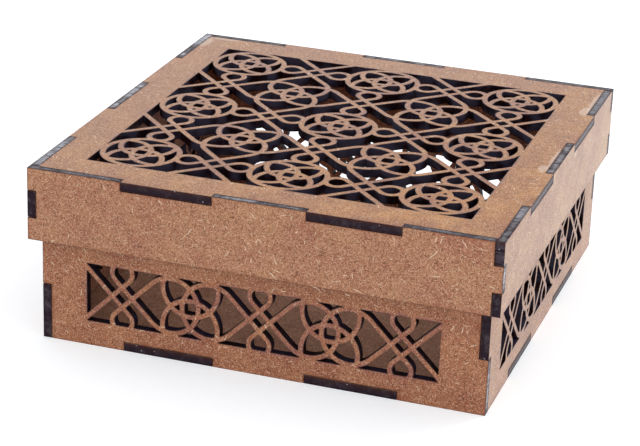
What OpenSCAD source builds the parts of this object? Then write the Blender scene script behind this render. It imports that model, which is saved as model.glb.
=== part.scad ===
// A square keepsake box with a lift-off lid, cut from thin fibreboard sheet.
// Four finger-jointed walls stand round a floor panel, and four shorter walls carry the lid's top panel.
// The top panel and every wall of the box are pierced with the same interlaced fretwork.
// Millimetres, +Z up. The origin is the middle of the box's underside.

/* [Sheet] */
// Thickness of the board that every piece is cut from
sheet = 3; // [2:0.1:4.5]
// Play left by the laser in each finger joint, shared by its two sides, and again behind the finger
finger_play = 0.3; // [0:0.05:0.5]

/* [Box] */
// Outer width of the box without its lid
box_w = 160; // [110:1:260]
// Outer depth of the box without its lid
box_d = 160; // [110:1:260]
// Height of the box's walls
box_h = 61; // [50:1:120]

/* [Lid] */
// Height of the lid from the top panel's face to its lower rim
lid_h = 26.2; // [16:0.1:29]
// Gap on each side between the lid's walls and the box's walls
lid_gap = 0.75; // [0.3:0.05:2]

/* [Finger joints] */
// Length of the fingers along the edges of the panels
edge_finger = 33; // [16:0.5:36]
// Height of the middle finger at each corner of the box
box_corner_finger = 20.3; // [10:0.1:30]
// Height of the middle finger at each corner of the lid
lid_corner_finger = 9.8; // [5:0.1:12]

/* [Lid fretwork] */
// Distance between the middles of neighbouring rings
lid_pitch = 54.2; // [50:0.1:60]
// Width of the lid's fretwork strands
lid_strand = 2.15; // [1.4:0.05:2.6]
// Radius of the rings at the middle of the strand
lid_ring_r = 13.35; // [12.6:0.05:14]
// Half of the small diamond where the strands cross
lid_diamond = 3.95; // [3.4:0.05:4.6]
// Radius of the small loops at the middle of the strand
lid_loop_r = 4; // [3.6:0.05:4.4]
// Depth that the outer rings run into the plain border
lid_ring_bite = 0.25; // [0.1:0.05:1]
// Least width of the lid's plain border
lid_border_min = 13; // [9:0.5:20]

/* [Wall fretwork] */
// Distance between the middles of neighbouring knots
band_pitch = 50.2; // [46:0.1:56]
// Width of the walls' fretwork strands
band_strand = 1.9; // [1.4:0.05:2.4]
// Half of the small diamond where the strands cross
band_diamond = 3.7; // [3.2:0.05:4.4]
// Radius of the small loops at the middle of the strand
band_loop_r = 3.75; // [3.4:0.05:4.1]
// Length of the window past the middle of its outer knots
band_end = 13.1; // [11:0.1:15]
// Depth that the petals run into the plain border
band_petal_bite = 0.3; // [0.1:0.05:1]
// Height of the window's middle above the box's underside
band_z = 20; // [17:0.5:30]
// Least length of plain wall beside the window
band_border_min = 12; // [8:0.5:30]

/* [Hidden] */
$fn = 96;
ROOT2 = sqrt(2);
// Where two petal circles cross, as a multiple of their distance from the flower's middle
PETAL_TIP = (ROOT2 + sqrt(6)) / 2;

// The lid's outer sides follow from the box, the gap and the sheet
lid_w = box_w + 2 * (lid_gap + sheet);
lid_d = box_d + 2 * (lid_gap + sheet);
top_z = box_h + sheet;

// The lid's window holds as many rings as leave the least border
lid_step = lid_pitch / 2;
lid_reach = lid_ring_r + lid_strand / 2 - lid_ring_bite;
rings_x = fit_count(lid_w - 2 * (lid_border_min + lid_reach), lid_pitch);
rings_y = fit_count(lid_d - 2 * (lid_border_min + lid_reach), lid_pitch);

// The walls' windows are as high as the petals, less what runs into the border
band_step = band_pitch / 2;
band_petal = petal_offset(band_step, band_diamond);
band_rise = ROOT2 * band_petal + band_strand / 2 - band_petal_bite;

// How far the straight strands lap into the loops, and how much slimmer they are at each side
strand_lap = 0.25;
strand_step = 0.03;

board = "#a97a58";
board_pale = "#b88a68";

// How many motifs fit in a length, with one at each end
function fit_count(length, pitch) = max(1, floor(length / pitch) + 1);

// Distance of a flower's petal circles from its middle: a half pitch is three of these and a diamond
function petal_offset(step, diamond) = (step - diamond) / 3;

// Places of count motifs along a line, centred on zero
function places(count, pitch) = [for (i = [0 : count - 1]) (i - (count - 1) / 2) * pitch];

// A circle drawn with the strand
module strand_circle(r, strand) {
    difference() {
        circle(r + strand / 2);
        circle(r - strand / 2);
    }
}

// Three quarters of a strand circle, open towards +X
module strand_loop(r, strand) {
    difference() {
        strand_circle(r, strand);
        rotate(-45) square(2 * r + strand);
    }
}

// Four petals: each loop is open outwards, where two straight strands carry it on
module flower(petal, strand) {
    for (turn = [0 : 90 : 270])
        rotate(turn) translate([petal, 0]) strand_loop(ROOT2 * petal, strand);
}

// A ring that holds a smaller flower, whose tips lie on the ring
module ring_flower(ring_r, strand) {
    petal = ring_r / PETAL_TIP;
    strand_circle(ring_r, strand);
    intersection() {
        circle(ring_r);
        for (turn = [0 : 90 : 270])
            rotate(turn) translate([petal, 0]) strand_circle(ROOT2 * petal, strand);
    }
}

// Four strands crossing round a diamond, with a loop above and below.
// The strands run on to the left and right by the lengths given, at 45 degrees.
module knot(diamond, loop_r, strand, run_left, run_right) {
    for (half = [[0, run_left, run_right], [180, run_right, run_left]]) rotate(half[0]) {
        translate([0, diamond + ROOT2 * loop_r]) rotate(-90) strand_loop(loop_r, strand);
        for (side = [[-1, half[1]], [1, half[2]]])
            translate([-side[0] * loop_r / ROOT2, diamond + loop_r / ROOT2])
                rotate(-90 + 45 * side[0])
                    straight_strand(loop_r + ROOT2 * (diamond + side[1]), strand);
    }
}

// A straight strand along +X that laps into the loops at its ends.
// It is a hair slimmer than they are, so it meets them in a clean step.
module straight_strand(length, strand) {
    translate([-strand_lap, strand_step - strand / 2])
        square([length + 2 * strand_lap, strand - 2 * strand_step]);
}

// Run of a knot's strands: to the next flower, or into the border at either end of a row
function run_to(i, end, petal, edge_run) = i == end ? edge_run : petal;

// The lid's whole fretwork: rings on a square net, knots between them and a flower in each square
module lid_lattice() {
    xs = places(rings_x, lid_pitch);
    ys = places(rings_y, lid_pitch);
    last_x = rings_x - 1;
    last_y = rings_y - 1;
    petal = petal_offset(lid_step, lid_diamond);
    edge_run = lid_reach - lid_diamond + lid_strand;
    for (x = xs, y = ys)
        translate([x, y]) ring_flower(lid_ring_r, lid_strand);
    for (i = [0 : 1 : last_x], j = [0 : 1 : last_y - 1])
        translate([xs[i], ys[j] + lid_step])
            knot(lid_diamond, lid_loop_r, lid_strand,
                run_to(i, 0, petal, edge_run), run_to(i, last_x, petal, edge_run));
    for (i = [0 : 1 : last_x - 1], j = [0 : 1 : last_y])
        translate([xs[i] + lid_step, ys[j]]) rotate(90)
            knot(lid_diamond, lid_loop_r, lid_strand,
                run_to(j, 0, petal, edge_run), run_to(j, last_y, petal, edge_run));
    for (i = [0 : 1 : last_x - 1], j = [0 : 1 : last_y - 1])
        translate([xs[i] + lid_step, ys[j] + lid_step]) flower(petal, lid_strand);
}

// Number of knots along a wall's window
function knots(wall_length) = fit_count(wall_length - 2 * (band_border_min + band_end), band_pitch);

// One row of knots and flowers
module band_lattice(count) {
    xs = places(count, band_pitch);
    last = count - 1;
    edge_run = band_end - band_diamond + band_strand;
    for (i = [0 : 1 : last])
        translate([xs[i], 0])
            knot(band_diamond, band_loop_r, band_strand,
                run_to(i, 0, band_petal, edge_run), run_to(i, last, band_petal, edge_run));
    for (i = [0 : 1 : last - 1])
        translate([xs[i] + band_step, 0]) flower(band_petal, band_strand);
}

// A window cut in the plate and filled with fretwork, which is fused to the edge a little way in
module pierce(window, hold) {
    difference() {
        children(0);
        square(window, center = true);
    }
    intersection() {
        square([window[0] + hold, window[1] + hold], center = true);
        children(1);
    }
}

// Rectangle from its lowest corner to its highest
module span(low, high) {
    translate(low) square(high - low);
}

// Fingers of a panel: two along each edge, standing out from the sunk edge to the outer face
module panel_plate(w, d) {
    square([w - 2 * sheet, d - 2 * sheet], center = true);
    for (side = [-1, 1]) {
        translate([side * edge_finger, 0]) square([edge_finger - finger_play, d], center = true);
        translate([0, side * edge_finger]) square([w, edge_finger - finger_play], center = true);
    }
}

// A wall seen from outside, standing on zero, with slots for the panel's fingers along its lower edge.
// Its left end has the middle finger and its right end the outer two.
module wall_plate(length, height, corner_finger) {
    end = length / 2;
    low = (height - corner_finger) / 2;
    high = (height + corner_finger) / 2;
    play = finger_play / 2;
    slot = sheet + finger_play;
    difference() {
        translate([0, height / 2]) square([length, height], center = true);
        for (side = [-1, 1])
            translate([side * edge_finger, slot / 2]) square([edge_finger, slot], center = true);
        span([-end, 0], [-end + slot, low + play]);
        span([-end, high - play], [-end + slot, height]);
        span([end - slot, low - play], [end, high + play]);
    }
}

// Stands a plate drawn flat upright, with its outer face at the given distance in front of the middle
module stand(distance) {
    translate([0, sheet - distance, 0]) rotate([90, 0, 0]) linear_extrude(sheet) children();
}

// One wall of the box, pierced along its visible height
module box_wall(length, distance) {
    count = knots(length);
    window = [(count - 1) * band_pitch + 2 * band_end, 2 * band_rise];
    color(board) stand(distance) translate([0, band_z]) pierce(window, band_strand) {
        translate([0, -band_z]) wall_plate(length, box_h, box_corner_finger);
        band_lattice(count);
    }
}

// One wall of the lid: such a plate hung upside down, so its slots face up
module lid_wall(length, distance) {
    color(board) translate([0, 0, top_z]) stand(distance)
        rotate(180) wall_plate(length, lid_h, lid_corner_finger);
}

module floor_panel() {
    color(board) linear_extrude(sheet) panel_plate(box_w, box_d);
}

module lid_top_panel() {
    window = [(rings_x - 1) * lid_pitch + 2 * lid_reach, (rings_y - 1) * lid_pitch + 2 * lid_reach];
    color(board_pale) translate([0, 0, box_h]) linear_extrude(sheet) pierce(window, lid_strand) {
        panel_plate(lid_w, lid_d);
        lid_lattice();
    }
}

module box_front_wall() box_wall(box_w, box_d / 2);
module box_right_wall() rotate(90) box_wall(box_d, box_w / 2);
module box_back_wall() rotate(180) box_wall(box_w, box_d / 2);
module box_left_wall() rotate(270) box_wall(box_d, box_w / 2);

module lid_front_wall() lid_wall(lid_w, lid_d / 2);
module lid_right_wall() rotate(90) lid_wall(lid_d, lid_w / 2);
module lid_back_wall() rotate(180) lid_wall(lid_w, lid_d / 2);
module lid_left_wall() rotate(270) lid_wall(lid_d, lid_w / 2);

floor_panel();
box_front_wall();
box_right_wall();
box_back_wall();
box_left_wall();
lid_top_panel();
lid_front_wall();
lid_right_wall();
lid_back_wall();
lid_left_wall();
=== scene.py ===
import math

import bpy
from mathutils import Matrix, Vector


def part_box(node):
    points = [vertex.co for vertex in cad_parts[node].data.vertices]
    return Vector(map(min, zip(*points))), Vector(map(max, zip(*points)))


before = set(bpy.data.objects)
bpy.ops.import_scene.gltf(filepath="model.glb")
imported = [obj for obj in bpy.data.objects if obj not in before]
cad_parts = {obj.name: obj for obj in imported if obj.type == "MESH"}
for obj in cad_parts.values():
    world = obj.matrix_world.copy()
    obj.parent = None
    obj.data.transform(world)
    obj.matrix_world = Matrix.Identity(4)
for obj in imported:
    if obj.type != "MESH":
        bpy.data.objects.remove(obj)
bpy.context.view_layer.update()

# Camera
# The box is seen from the right of its front and from above, through a long lens about 0.8 m away.
# The camera leans a little, so that the lid's front edge falls to the right.
MM = 0.001
VIEW_AZIMUTH = 17.89
VIEW_ELEVATION = 22.07
VIEW_LEAN = 2.14
VIEW_DISTANCE = 827.4 * MM
VIEW_TARGET = Vector((-4.58, -3.07, 26.45)) * MM
PHOTO_WIDTH_PX = 640
FOCAL_LENGTH_PX = 2253.4
SENSOR_MM = 36.0

azimuth = math.radians(VIEW_AZIMUTH)
elevation = math.radians(VIEW_ELEVATION)
back = Vector((
    math.sin(azimuth) * math.cos(elevation),
    -math.cos(azimuth) * math.cos(elevation),
    math.sin(elevation),
))
right = Vector((0, 0, 1)).cross(back).normalized()
level = Matrix((right, back.cross(right), back)).transposed()
leaning = level @ Matrix.Rotation(math.radians(VIEW_LEAN), 3, "Z")

bpy.ops.object.select_all(action="DESELECT")
bpy.ops.object.camera_add(location=VIEW_TARGET + back * VIEW_DISTANCE, rotation=leaning.to_euler())
camera = bpy.context.object
camera.data.sensor_width = SENSOR_MM
camera.data.lens = FOCAL_LENGTH_PX * SENSOR_MM / PHOTO_WIDTH_PX
camera.data.clip_end = 20.0
bpy.context.scene.camera = camera
bpy.context.scene.view_settings.view_transform = "Standard"


# Table and light
# A plain white table top under soft daylight: an even pale sky, and a wide window behind, to the right.
# The table and the sky read as white to the camera and in reflections, and light the box plainly.
class Wire:
    """A socket in a node tree. Arithmetic on it adds Math nodes, and make() adds any other node."""

    def __init__(self, tree, socket=None):
        self.tree = tree
        self.socket = socket

    def make(self, kind, settings, inputs, outlet=0):
        """Adds a node of the given type, with its settings and the values or wires of its inputs."""
        node = self.tree.nodes.new(kind)
        for name, value in settings.items():
            setattr(node, name, value)
        for place, value in inputs.items():
            if isinstance(value, Wire):
                self.tree.links.new(value.socket, node.inputs[place])
            else:
                node.inputs[place].default_value = value
        return Wire(self.tree, node.outputs[outlet] if node.outputs else None)

    def outlet(self, name):
        """Another output of the node that this socket belongs to."""
        return Wire(self.tree, self.socket.node.outputs[name])

    def math(self, operation, *values):
        return self.make("ShaderNodeMath", {"operation": operation}, dict(enumerate(values)))

    def __add__(self, other):
        return self.math("ADD", self, other)

    def __radd__(self, other):
        return self.math("ADD", other, self)

    def __sub__(self, other):
        return self.math("SUBTRACT", self, other)

    def __rsub__(self, other):
        return self.math("SUBTRACT", other, self)

    def __mul__(self, other):
        return self.math("MULTIPLY", self, other)

    def __rmul__(self, other):
        return self.math("MULTIPLY", other, self)

    def __truediv__(self, other):
        return self.math("DIVIDE", self, other)

    def __rtruediv__(self, other):
        return self.math("DIVIDE", other, self)

    def __pow__(self, other):
        return self.math("POWER", self, other)

    def __rpow__(self, other):
        return self.math("POWER", other, self)

    def __abs__(self):
        return self.math("ABSOLUTE", self)

    def high(self, other):
        """The higher of two values."""
        return self.math("MAXIMUM", self, other)

    def ramp(self, begin, end, low=0.0, high=1.0):
        """Runs smoothly from low at begin to high at end, and stays level beyond them."""
        return self.make(
            "ShaderNodeMapRange",
            {"interpolation_type": "SMOOTHSTEP"},
            {0: self, 1: begin, 2: end, 3: low, 4: high},
        )

    def tint(self, under, over):
        """Lays one colour over another, with this value as its strength."""
        return self.make("ShaderNodeMix", {"data_type": "RGBA"}, {0: self, 6: under, 7: over}, outlet=2)

    def vector(self, operation, *values):
        inputs = dict(enumerate((self, *values)))
        return self.make("ShaderNodeVectorMath", {"operation": operation}, inputs)

    def scaled(self, factor):
        return self.make("ShaderNodeVectorMath", {"operation": "SCALE"}, {0: self, "Scale": factor})


def colour(red, green, blue):
    """A colour written as 0 to 255, as the linear RGBA that a shader takes."""
    linear = []
    for part in (red / 255, green / 255, blue / 255):
        linear.append(part / 12.92 if part <= 0.04045 else ((part + 0.055) / 1.055) ** 2.4)
    return linear + [1.0]


def seen_directly(tree):
    """1 for rays from the camera and for reflections, 0 for rays that carry light to the box."""
    path = tree.make("ShaderNodeLightPath", {}, {}, outlet="Is Camera Ray")
    return path.high(path.outlet("Is Glossy Ray")).high(path.outlet("Is Transmission Ray"))


TABLE_SIZE = 12.0
TABLE_DROP = 0.02 * MM
TABLE_WHITE = [0.88, 0.88, 0.88, 1.0]
TABLE_GLOW = colour(240, 248, 255)
TABLE_LIFT = 0.36
SKY_COLOUR = colour(253, 254, 255)
SKY_STRENGTH = 0.98
WINDOW_PLACE = Vector((0.9, 1.3, 0.4))
WINDOW_SIZE = 1.0
WINDOW_POWER = 13.0

bpy.ops.object.select_all(action="DESELECT")
bpy.ops.mesh.primitive_plane_add(size=TABLE_SIZE, location=(0, 0, -TABLE_DROP))
table = bpy.context.object
table.name = "studio_table"

table_white = bpy.data.materials.new("table_white")
table_white.use_nodes = True
table_white.node_tree.nodes.clear()
table_tree = Wire(table_white.node_tree)
matte = table_tree.make("ShaderNodeBsdfDiffuse", {}, {"Color": TABLE_WHITE})
lift = seen_directly(table_tree) * TABLE_LIFT
glow = table_tree.make("ShaderNodeEmission", {}, {"Color": TABLE_GLOW, "Strength": lift})
lifted = table_tree.make("ShaderNodeAddShader", {}, {0: matte, 1: glow})
table_tree.make("ShaderNodeOutputMaterial", {}, {"Surface": lifted})
table.data.materials.append(table_white)

sky = bpy.data.worlds.new("studio_sky")
sky.use_nodes = True
sky.node_tree.nodes.clear()
sky_tree = Wire(sky.node_tree)
strength = seen_directly(sky_tree) * (1.0 - SKY_STRENGTH) + SKY_STRENGTH
daylight = sky_tree.make("ShaderNodeBackground", {}, {"Color": SKY_COLOUR, "Strength": strength})
sky_tree.make("ShaderNodeOutputWorld", {}, {"Surface": daylight})
bpy.context.scene.world = sky

aim = (-WINDOW_PLACE).to_track_quat("-Z", "Y").to_euler()
bpy.ops.object.select_all(action="DESELECT")
bpy.ops.object.light_add(type="AREA", location=WINDOW_PLACE, rotation=aim)
window = bpy.context.object
window.data.size = WINDOW_SIZE
window.data.energy = WINDOW_POWER

# Floor panel of the box
# A square of 3 mm MDF, cut out by laser, whose tabs are glued into the walls and show at their foot.
# The board is pressed wood fibre: brown, flecked, with straw-coloured fibres, and charred where cut.
FLOOR_BROWN = colour(194, 140, 112)
FLOOR_RED = colour(172, 118, 90)

# The face: its flecks and fibres, and the fuzz that pales it where it is seen along the surface
FLECK_DARK = colour(60, 27, 17)
FLECK_PALE = colour(242, 202, 168)
STRAW = colour(255, 232, 204)
GREYED = colour(168, 126, 108)
MOTTLE_STRENGTH = 0.75
PALE_STRENGTH = 0.68
STRAW_STRENGTH = 0.95
BOARD_ROUGHNESS = 0.44
BOARD_IOR = 1.32
FUZZ_COLOUR = colour(236, 249, 253)
FUZZ_WEIGHT = 0.85
FUZZ_ROUGHNESS = 0.24

# The marks of the laser: brown and sooty board beside a cut, and char on the cut edge itself.
# A cut that lies further than the margin, in millimetres, inside the sheet's outline is fretwork.
SCORCH = colour(146, 76, 36)
SMOKE_STAIN = colour(124, 82, 98)
SOOT = colour(44, 22, 18)
CHAR = colour(40, 27, 37)
CHAR_BROWN = colour(78, 46, 38)
# A bluish painted sheen, laid in patches over the black char inside the fretwork.
FRET_SHEEN = colour(57, 54, 70)
DEEP_CHAR = colour(24, 12, 16)
HEAT_STRENGTH = 0.6
SOOT_STRENGTH = 0.7
BROWN_STRENGTH = 0.6
HEAT_REACH = 2.4 * MM
ARRIS_RADIUS = 0.5 * MM
EDGE_SAMPLES = 6
FRET_MARGIN = 5.0
CHAR_ROUGHNESS = 0.3
CHAR_IOR = 1.2
CHAR_FUZZ_COLOUR = colour(250, 241, 242)
CHAR_FUZZ_WEIGHT = 0.5
PIERCING_IOR = 1.08

# What lies on the board: dust, scuffs and crumbs on the cut edges, and dried glue. The dust is partly a
# painted sheen on up-facing ends, the crumbs partly painted glints, and the glue on the front corner
# ends partly a painted sheen. The dust and its painted sheen thin out towards the corners, from this
# many millimetres off the middle of a piece.
ASH_AND_SHEEN = colour(176, 174, 180)
DUST_AND_SHEEN_STRENGTH = 0.68
DUST_AND_SHEEN_HALF = 45.0
DUST_AND_SHEEN_FADE = 10.0
PANEL_SCUFFS = 0.05
WALL_SCUFFS = 0.12
# Pale crumbs on the cut edges, partly painted glints:
CRUMB_AND_GLINT_SHARE = 0.25
CRUMB_AND_GLINT_STRENGTH = 0.7
GLUE = colour(228, 204, 188)
# Pale glue on the char, also the colour of painted sheen and painted glints on the cut edges.
GLUE_AND_HIGHLIGHT_ON_CHAR = colour(202, 203, 213)
STAIN_STRENGTH = 0.45

# Heights of the relief, in millimetres
MOTTLE_HEIGHT = 0.1
PALE_HEIGHT = 0.04
STRAW_HEIGHT = 0.05
STREAK_HEIGHT = 0.08
SCUFF_HEIGHT = 0.05
RELIEF_STRENGTH = 0.6

# Steps in millimetres from one piece's stretch of the grain to the next, and from one kind of fleck
# to the next
PIECE_STEP = (311.0, 173.0)
FLECK_STEP = (57.0, 31.0)


def noise(place, scale, detail, roughness=0.5, outlet="Fac"):
    inputs = {"Vector": place, "Scale": scale, "Detail": detail, "Roughness": roughness}
    return place.make("ShaderNodeTexNoise", {}, inputs, outlet)


def fibres(place, spacing, length, width, share, bow):
    """Loose fibres lying every way, at most one to a cell of an uneven grid: 1 on a fibre and 0 off it.
    Sizes are in millimetres, share is how many cells hold one, and bow is how far a fibre curves."""
    cell = place.make(
        "ShaderNodeTexVoronoi",
        {"voronoi_dimensions": "2D"},
        {"Vector": place.scaled(1.0 / spacing), "Scale": 1.0, "Randomness": 0.95},
        outlet="Position",
    )
    chance = place.make("ShaderNodeSeparateColor", {}, {0: cell.outlet("Color")})
    away = place.vector("SUBTRACT", cell.scaled(spacing))
    turned = place.make(
        "ShaderNodeVectorRotate",
        {"rotation_type": "Z_AXIS"},
        {"Vector": away, "Angle": chance * (2 * math.pi)},
    )
    along = place.make("ShaderNodeSeparateXYZ", {}, {0: turned})
    reach = (chance.outlet(1) * 0.7 + 0.3) * (length / 2)
    curve = (chance.outlet(1) - 0.5) * (bow * 8 / length ** 2)
    across = along.outlet(1) - along * along * curve
    slim = abs(across).ramp(width * 0.15, width * 0.6, 1.0, 0.0)
    ends = (abs(along) / reach).ramp(0.4, 1.0, 1.0, 0.0)
    chosen = chance.outlet(2).ramp(share * 0.3, share, 1.0, 0.0)
    return slim * ends * chosen


def near_edge(tree, reach):
    """How close a point is to the sheet's cut edges: 0 beyond reach, and highest on the edge itself."""
    rounded = tree.make("ShaderNodeBevel", {"samples": EDGE_SAMPLES}, {"Radius": reach})
    straight = tree.make("ShaderNodeNewGeometry", {}, {}, outlet="Normal")
    lean = tree.make(
        "ShaderNodeVectorMath",
        {"operation": "DOT_PRODUCT"},
        {0: rounded, 1: straight},
        outlet="Value",
    )
    return (1.0 - lean * lean).high(0.0) ** 0.5


def board(node, axis, seed, tones, stains=(), smears=(), drift=0.0, fret_sheen=FRET_SHEEN):
    """Laser-cut MDF for one sheet, whose faces look along the given axis: 0 for X, 1 for Y, 2 for Z.
    Seed picks the stretch of board, and tones are the two browns that cloud it. Stains are dried glue
    on the face: centre and half sizes there. Smears are glue on the cut edges, at the front corner ends
    also a painted sheen: centre and half sizes in space, and strength. All sizes are in millimetres.
    Drift greys the face to its back and left, and the last argument is the colour laid in patches over
    the char inside the fretwork: a bluish painted sheen, dimmer as painted shade in the box's front and
    back bands."""
    material = bpy.data.materials.new(node + "_mdf")
    material.use_nodes = True
    material.node_tree.nodes.clear()
    tree = Wire(material.node_tree)

    # Where a point lies: in space, on the flat sheet, on a face or a cut edge, and inside the outline
    place = tree.make("ShaderNodeTexCoord", {}, {}, outlet="Object").scaled(1.0 / MM)
    parts = tree.make("ShaderNodeSeparateXYZ", {}, {0: place})
    first, second = [i for i in range(3) if i != axis]
    across = parts.outlet(first)
    up = parts.outlet(second)
    rise = parts.outlet(2)
    sheet = {0: across + seed * PIECE_STEP[0], 1: up + seed * PIECE_STEP[1], 2: seed}
    flat = tree.make("ShaderNodeCombineXYZ", {}, sheet)
    facing = tree.make("ShaderNodeTexCoord", {}, {}, outlet="Normal")
    facing = tree.make("ShaderNodeSeparateXYZ", {}, {0: facing})
    face = abs(facing.outlet(axis)).ramp(0.5, 0.7)
    low, high = [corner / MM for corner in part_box(node)]
    centre = (low + high) / 2
    half = (high - low) / 2
    off_middle = abs(across - centre[first])
    beyond = (off_middle - half[first]).high(abs(up - centre[second]) - half[second])
    inner = beyond.ramp(-FRET_MARGIN, 1.0 - FRET_MARGIN, 1.0, 0.0)
    outer = 1.0 - inner

    # The face: cloudy brown, fine dark and pale flecks, and straws that lie in loose groups
    cloud = noise(flat, 0.075, 5.0, 0.62)
    mottle = noise(flat, 1.9, 4.0, 0.82)
    wander = noise(flat, 0.5, 2.0, outlet="Color").vector("SUBTRACT", (0.5, 0.5, 0.5)).scaled(1.4)
    bent = flat.vector("ADD", wander)
    shift = [flat.vector("ADD", (FLECK_STEP[0] * k, FLECK_STEP[1] * k, 0.0)) for k in range(5)]
    pale_dots = fibres(shift[0], spacing=0.5, length=0.6, width=0.24, share=0.42, bow=0.1)
    pale_flecks = fibres(shift[1], spacing=1.2, length=2.2, width=0.22, share=0.6, bow=0.2)
    dark_dots = fibres(shift[2], spacing=0.46, length=0.5, width=0.3, share=0.4, bow=0.1)
    dark_flecks = fibres(shift[3], spacing=1.0, length=1.9, width=0.26, share=0.6, bow=0.3)
    long_straws = fibres(bent, spacing=7.5, length=6.0, width=0.26, share=0.6, bow=0.7)
    short_straws = fibres(shift[4], spacing=3.4, length=3.0, width=0.25, share=0.42, bow=0.3)
    pale = pale_dots.high(pale_flecks)
    dark = dark_dots.high(dark_flecks) * noise(flat, 0.3, 2.0).ramp(0.38, 0.6, 0.6, 1.0)
    straws = long_straws.high(short_straws) * noise(flat, 0.06, 1.0).ramp(0.4, 0.6, 0.3, 1.0)

    brown, red = tones
    tone = cloud.ramp(0.28, 0.72).tint(brown, red)
    if drift:
        tone = ((up - across).ramp(-150.0, 80.0) * drift).tint(tone, GREYED)
    tone = (mottle.ramp(0.5, 0.25) * MOTTLE_STRENGTH).tint(tone, FLECK_DARK)
    tone = (mottle.ramp(0.5, 0.75) * MOTTLE_STRENGTH).tint(tone, FLECK_PALE)
    tone = dark.tint(tone, FLECK_DARK)
    tone = (pale * PALE_STRENGTH).tint(tone, FLECK_PALE)
    tone = (straws * STRAW_STRENGTH).tint(tone, STRAW)

    # Heat has browned the face along the cuts, soot edges it, and glue has dried on it in pale stains
    near_cut = near_edge(tree, HEAT_REACH)
    arris = near_edge(tree, ARRIS_RADIUS)
    heat = near_cut.ramp(0.0, 0.7) * cloud.ramp(0.42, 0.64, 0.15, 1.0)
    tone = (heat * HEAT_STRENGTH).tint(tone, inner.tint(SCORCH, SMOKE_STAIN))
    ragged = (noise(place, 0.3, 3.0, 0.6) - 0.5) * 0.5
    for centre_across, centre_up, half_across, half_up in stains:
        sideways = (across - centre_across) / half_across
        upwards = (up - centre_up) / half_up
        ring = (sideways * sideways + upwards * upwards) ** 0.5 + ragged
        tone = ring.ramp(0.6, 1.05, STAIN_STRENGTH, 0.0).tint(tone, GLUE)
    sooty = inner * (1.0 - SOOT_STRENGTH) + SOOT_STRENGTH
    tone = (arris.ramp(0.03, 0.45) * sooty).tint(tone, SOOT)

    # The cut edge: char drawn through the thickness, brown in patches, at its rims and near the top
    through = [0.12 if i == axis else 1.5 for i in range(3)]
    drawn = tree.make("ShaderNodeMapping", {"vector_type": "POINT"}, {"Vector": place, "Scale": through})
    streak = noise(drawn, 1.0, 3.0, 0.65)
    scuff = noise(place, 0.3, 5.0, 0.7)
    upper = rise.ramp(high.z - 0.2, high.z - 0.1)
    crest = rise.ramp(high.z - 1.5, high.z) * (1.0 - upper) * outer
    patchy = streak.ramp(0.45, 0.8) * scuff.ramp(0.4, 0.6)
    brownish = (patchy * BROWN_STRENGTH).high(arris.ramp(0.1, 0.7)).high(crest * BROWN_STRENGTH)
    # Inside the fretwork the black char takes patches of a bluish painted sheen, dimmer in the box's
    # front and back bands as painted shade.
    fret_char_and_sheen = noise(place, 0.13, 1.0).ramp(0.36, 0.6).tint(DEEP_CHAR, fret_sheen)
    burnt = brownish.tint(inner.tint(CHAR, fret_char_and_sheen), CHAR_BROWN)

    # On the cut edge: scuffs, dust where it looks up (partly a painted sheen), smears of glue (partly a
    # painted sheen at the front corners), and a crumb here and there (partly a painted glint)
    scuffs = scuff.ramp(0.45, 0.68) * outer * (PANEL_SCUFFS if axis == 2 else WALL_SCUFFS)
    burnt = scuffs.tint(burnt, ASH_AND_SHEEN)
    middle = near_cut.ramp(0.12, 0.5, 1.0, 0.0)
    # Grey dust on the up-facing middle of the cut ends, partly a painted sheen.
    dust_and_sheen_mask = upper * middle * off_middle.ramp(DUST_AND_SHEEN_HALF, DUST_AND_SHEEN_HALF + DUST_AND_SHEEN_FADE, 1.0, 0.5)
    dust_and_sheen = scuff.ramp(0.36, 0.62) * streak.ramp(0.3, 0.6, 0.35, 1.0) * dust_and_sheen_mask
    burnt = (dust_and_sheen * DUST_AND_SHEEN_STRENGTH).tint(burnt, ASH_AND_SHEEN)
    # Pale glue smears; on the front corner ends they are partly a painted sheen.
    for smear_centre, smear_half, smear_strength in smears:
        away = place.vector("SUBTRACT", smear_centre).vector("DIVIDE", smear_half).vector("ABSOLUTE")
        away = tree.make("ShaderNodeSeparateXYZ", {}, {0: away})
        far = away.high(away.outlet(1)).high(away.outlet(2)) + ragged * 2.0
        smear = far.ramp(0.6, 1.0, 1.0, 0.0) * streak.ramp(0.42, 0.58, 0.0, smear_strength)
        burnt = smear.tint(burnt, GLUE_AND_HIGHLIGHT_ON_CHAR)
    # Pale crumbs on the outer cut edges, partly painted glints.
    cells = tree.make("ShaderNodeTexVoronoi", {}, {"Vector": place, "Scale": 0.6, "Randomness": 1.0})
    chance = tree.make("ShaderNodeSeparateColor", {}, {0: cells.outlet("Color")})
    crumbs_and_glints = cells.ramp(0.07, 0.17, 1.0, 0.0) * chance.ramp(CRUMB_AND_GLINT_SHARE, CRUMB_AND_GLINT_SHARE + 0.01, 1.0, 0.0)
    burnt = (crumbs_and_glints * outer * CRUMB_AND_GLINT_STRENGTH).tint(burnt, GLUE_AND_HIGHLIGHT_ON_CHAR)

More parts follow.
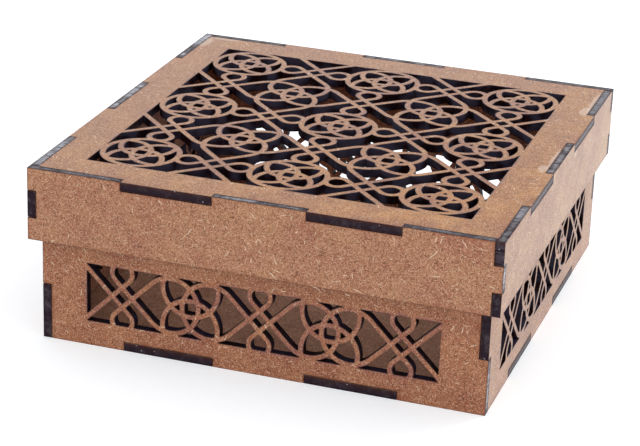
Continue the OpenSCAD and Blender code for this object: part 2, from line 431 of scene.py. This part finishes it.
    # The relief and the shaders: the face, the outer cut edges, and the dull char of fretwork and rims
    grit = mottle * MOTTLE_HEIGHT + pale * PALE_HEIGHT + straws * STRAW_HEIGHT
    burr = streak * STREAK_HEIGHT + scuff * SCUFF_HEIGHT
    height = face * grit + (1.0 - face) * burr
    bump = {"Strength": RELIEF_STRENGTH, "Distance": MM, "Height": height}
    relief = tree.make("ShaderNodeBump", {}, bump)
    fuzz = {"Sheen Weight": FUZZ_WEIGHT, "Sheen Roughness": FUZZ_ROUGHNESS, "Sheen Tint": FUZZ_COLOUR}
    char_fuzz = {**fuzz, "Sheen Weight": CHAR_FUZZ_WEIGHT, "Sheen Tint": CHAR_FUZZ_COLOUR}
    plain = {
        "Base Color": tone,
        "Roughness": mottle * 0.1 + BOARD_ROUGHNESS,
        "Normal": relief,
        "IOR": BOARD_IOR,
    }
    charred = {
        "Base Color": burnt,
        "Roughness": scuff * 0.2 + CHAR_ROUGHNESS,
        "Normal": relief,
        "IOR": CHAR_IOR,
    }
    flat_side = tree.make("ShaderNodeBsdfPrincipled", {}, {**plain, **fuzz})
    outer_cut = tree.make("ShaderNodeBsdfPrincipled", {}, {**charred, **char_fuzz})
    inner_cut = tree.make("ShaderNodeBsdfPrincipled", {}, {**charred, "IOR": PIERCING_IOR})
    dull = inner.high(1.0 - middle)
    cut_edge = tree.make("ShaderNodeMixShader", {}, {0: dull, 1: outer_cut, 2: inner_cut})
    shader = tree.make("ShaderNodeMixShader", {}, {0: face, 1: cut_edge, 2: flat_side})
    tree.make("ShaderNodeOutputMaterial", {}, {"Surface": shader})
    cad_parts[node].material_slots[0].material = material


board("floor_panel", 2, 1, (FLOOR_BROWN, FLOOR_RED))

# Walls of the box
# Four strips of the same MDF, each pierced with a band of interlace, glued at their corner fingers.
# The right one is painted paler, yellower and more blotched than the rest: painted light from the
# window, and a painted uneven sheen.
BOX_BROWN = colour(176, 115, 80)
BOX_RED = colour(156, 92, 66)
# The right wall's tones: painted light from the window, and a painted uneven sheen in their blotches.
BOX_WINDOW_LIT_YELLOW = colour(194, 143, 108)
BOX_WINDOW_LIT_TAN = colour(166, 109, 79)
# A dimmer copy of the fretwork's painted sheen for the box's front and back bands: painted shade.
SHADED_FRET_SHEEN = colour(32, 26, 42)
# Pale glue on the right-hand ends of the front wall's fingers, partly a painted sheen.
BOX_CORNER_GLUE_AND_SHEEN = [((80.0, -78.3, 10.0), (0.5, 1.5, 10.0), 0.6)]
box_tones = (BOX_BROWN, BOX_RED)
board("box_front_wall", 1, 2, box_tones, smears=BOX_CORNER_GLUE_AND_SHEEN, fret_sheen=SHADED_FRET_SHEEN)
board("box_right_wall", 0, 3, (BOX_WINDOW_LIT_YELLOW, BOX_WINDOW_LIT_TAN))
board("box_back_wall", 1, 4, box_tones, fret_sheen=SHADED_FRET_SHEEN)
board("box_left_wall", 0, 5, box_tones)

# Walls of the lid
# Four plain strips of MDF that slip over the box's walls, glued at their corner fingers.
# They are paler than the box's walls, and glue has crept out at some of the joints.
LID_BROWN = colour(185, 132, 97)
LID_RED = colour(170, 109, 84)
# The right wall's tones: painted light from the window, and a painted uneven sheen in their blotches.
LID_WINDOW_LIT_YELLOW = colour(199, 152, 114)
LID_WINDOW_LIT_TAN = colour(165, 109, 80)
RIGHT_WALL_STAINS = [(18.9, 59.6, 3.0, 1.8), (-15.9, 62.0, 1.4, 2.0), (-46.0, 60.8, 1.6, 2.4)]
LEFT_WALL_SMEARS = [
    ((-82.3, -12.0, 64.0), (0.9, 2.5, 0.5), 0.75),
    ((-82.3, 6.5, 64.0), (1.3, 9.5, 0.5), 0.7),
    ((-82.3, 54.5, 64.0), (0.9, 2.0, 0.5), 0.75),
    ((-82.3, 75.5, 64.0), (1.5, 8.5, 0.5), 0.95),
    ((-82.3, -66.0, 64.0), (1.5, 17.0, 0.5), 0.65),
]
RIGHT_WALL_SMEARS = [
    ((82.3, -83.75, 59.0), (1.6, 0.5, 5.0), 0.06),
    ((82.3, -57.0, 64.0), (1.5, 7.5, 0.5), 0.45),
    ((82.3, 66.0, 64.0), (1.5, 17.0, 0.5), 0.35),
]
# Pale glue on the right-hand ends of the front wall's fingers, partly a painted sheen.
LID_CORNER_GLUE_AND_SHEEN = [((83.75, -82.0, 51.0), (0.5, 1.5, 4.8), 0.85)]
lid_tones = (LID_BROWN, LID_RED)
board("lid_front_wall", 1, 6, lid_tones, smears=LID_CORNER_GLUE_AND_SHEEN)
board("lid_right_wall", 0, 7, (LID_WINDOW_LIT_YELLOW, LID_WINDOW_LIT_TAN), RIGHT_WALL_STAINS, RIGHT_WALL_SMEARS)
board("lid_back_wall", 1, 8, lid_tones)
board("lid_left_wall", 0, 9, lid_tones, smears=LEFT_WALL_SMEARS)

# Top panel of the lid
# A square of MDF pierced with rings and interlaced strands. Its tabs are glued into the lid's walls.
# Pale glue has spread beside some of the walls' fingers, and thinly on the ends of the right-hand tabs.
TOP_ORANGE = colour(189, 129, 69)
TOP_RED = colour(154, 94, 56)
TOP_STAINS = [
    (79.0, -13.0, 1.9, 4.2),
    (80.2, -2.0, 0.9, 12.0),
    (79.3, 53.0, 2.2, 5.5),
    (80.2, 64.0, 1.2, 13.0),
    (-79.7, 73.0, 2.2, 7.0),
    (-73.5, 79.7, 8.0, 1.5),
]
TAB_SMEARS = [
    ((83.75, 33.0, 61.8), (0.5, 16.0, 1.0), 0.1),
    ((83.75, -33.0, 61.8), (0.5, 16.0, 1.0), 0.1),
]
board("lid_top_panel", 2, 10, (TOP_ORANGE, TOP_RED), TOP_STAINS, TAB_SMEARS, drift=0.5)
